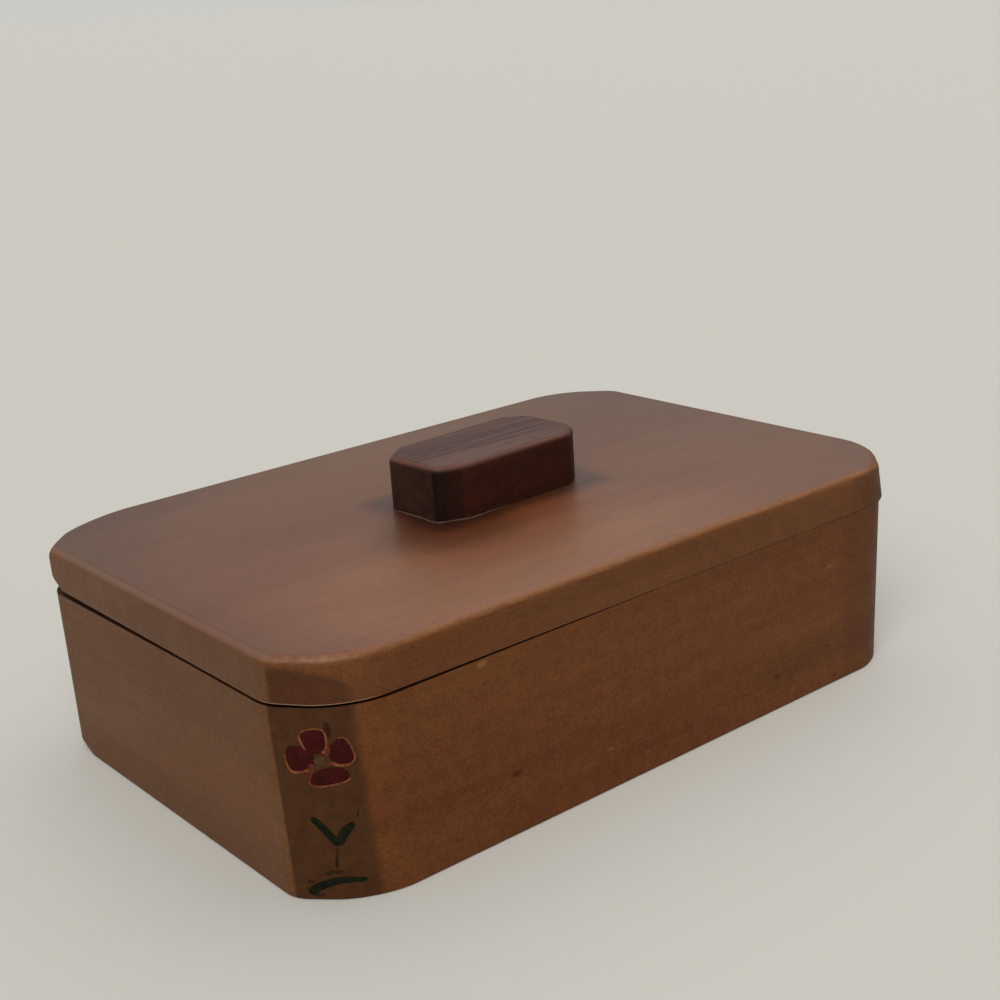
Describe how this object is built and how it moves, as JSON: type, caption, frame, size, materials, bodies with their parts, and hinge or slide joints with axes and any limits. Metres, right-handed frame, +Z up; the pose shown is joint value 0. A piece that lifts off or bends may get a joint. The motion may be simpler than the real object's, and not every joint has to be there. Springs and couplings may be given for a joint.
{
  "type": "wooden keepsake box with lift-off lid",
  "caption": "Low wooden box for keepsakes with cut-off corners, a lift-off lid located by battens underneath, and a dark block handle.",
  "frame": {"origin": "middle of the box's foot, on the plane that it stands on", "axes": "+X along the length of the box, +Y across it towards the back, +Z up, the way the lid lifts"},
  "size_m": [0.16, 0.107, 0.0576],
  "materials": {
    "body_wood": "satin clear lacquer over fine-grained mid-brown hardwood",
    "lid_wood": "satin clear lacquer over fine-grained mid-brown hardwood, grain along the length",
    "plain_wood": "sanded, unlacquered",
    "plywood": "sanded thin plywood, unlacquered",
    "dark_wood": "satin lacquered dark brown hardwood with darker streaks along the length",
    "steel": "plain bright steel",
    "red_paint": "thin hand-brushed dark red paint",
    "orange_paint": "thin hand-brushed orange paint",
    "green_paint": "thin hand-brushed dark green paint"
  },
  "bodies": {
    "box": {"front_wall": "body_wood", "right_wall": "body_wood", "back_wall": "body_wood", "left_wall": "body_wood", "corner_tongue_front_left": "plain_wood", "corner_tongue_front_right": "plain_wood", "corner_tongue_back_right": "plain_wood", "corner_tongue_back_left": "plain_wood", "bottom_panel": "plywood", "bottom_brad_front_1": "steel", "bottom_brad_front_2": "steel", "bottom_brad_front_3": "steel", "bottom_brad_back_1": "steel", "bottom_brad_back_2": "steel", "bottom_brad_back_3": "steel", "bottom_brad_left_1": "steel", "bottom_brad_left_2": "steel", "bottom_brad_right_1": "steel", "bottom_brad_right_2": "steel"},
    "lid": {"lid_board": "lid_wood", "left_batten": "plain_wood", "right_batten": "plain_wood", "batten_screw_left_front": "steel", "batten_screw_left_back": "steel", "batten_screw_right_front": "steel", "batten_screw_right_back": "steel", "handle_screw_left": "steel", "handle_screw_right": "steel", "handle": "dark_wood"}
  },
  "joints": [
    {"name": "lid_lift", "type": "slide", "parent": "box", "child": "lid", "axis": [0, 0, 1], "range_m": [0, 0.09]}
  ]
}
